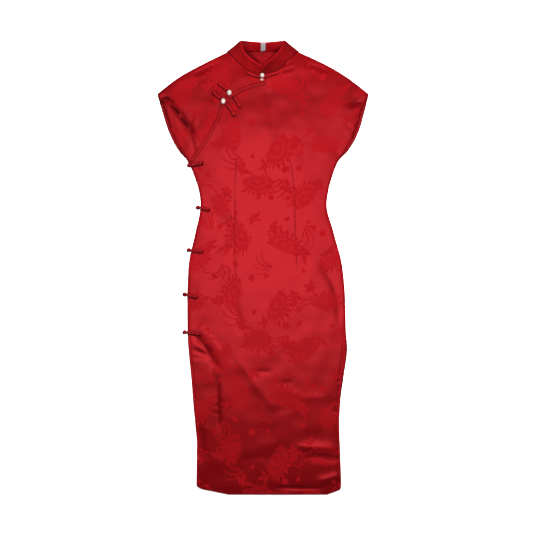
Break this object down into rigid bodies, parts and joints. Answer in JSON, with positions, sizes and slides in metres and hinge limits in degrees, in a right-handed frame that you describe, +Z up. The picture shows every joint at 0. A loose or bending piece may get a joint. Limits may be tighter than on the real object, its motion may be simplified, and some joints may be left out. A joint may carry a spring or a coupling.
{
  "type": "cheongsam dress",
  "caption": "Long cap-sleeved cheongsam dress laid flat, with a stand collar, slanted front opening, corded frogs, pearl buttons, waist darts and side slits.",
  "frame": {"origin": "on the surface that the dress lies on, under the middle of its bounding box", "axes": "+X towards the wearer's left side, +Y from the hem towards the collar, +Z up out of the surface, through the front"},
  "size_m": [0.572, 1.2261, 0.0361],
  "materials": {
    "satin": "red satin with a woven flower figure",
    "piping": "plain red satin binding",
    "cord": "rolled red satin cord",
    "pearl": "glossy white pearl",
    "ribbon": "grey satin ribbon"
  },
  "bodies": {
    "root": {"back_left": "satin", "back_right": "satin", "front_main": "satin", "front_shoulder": "satin", "collar": "satin", "placket_strip": "piping", "armhole_binding_left": "piping", "armhole_binding_right": "piping", "neck_tab": "ribbon", "collar_frog_left": "cord", "collar_frog_right": "cord", "chest_frog_a_left": "cord", "chest_frog_a_right": "cord", "chest_frog_b_left": "cord", "chest_frog_b_right": "cord", "side_frog_1_bar": "cord", "side_frog_1_knot": "cord", "side_frog_2_bar": "cord", "side_frog_2_knot": "cord", "side_frog_3_bar": "cord", "side_frog_3_knot": "cord", "side_frog_4_bar": "cord", "side_frog_4_knot": "cord", "side_frog_5_bar": "cord", "side_frog_5_knot": "cord", "collar_pearl": "pearl", "collar_pearl_lower": "pearl", "chest_frog_a_pearl": "pearl", "chest_frog_b_pearl": "pearl"}
  },
  "joints": []
}
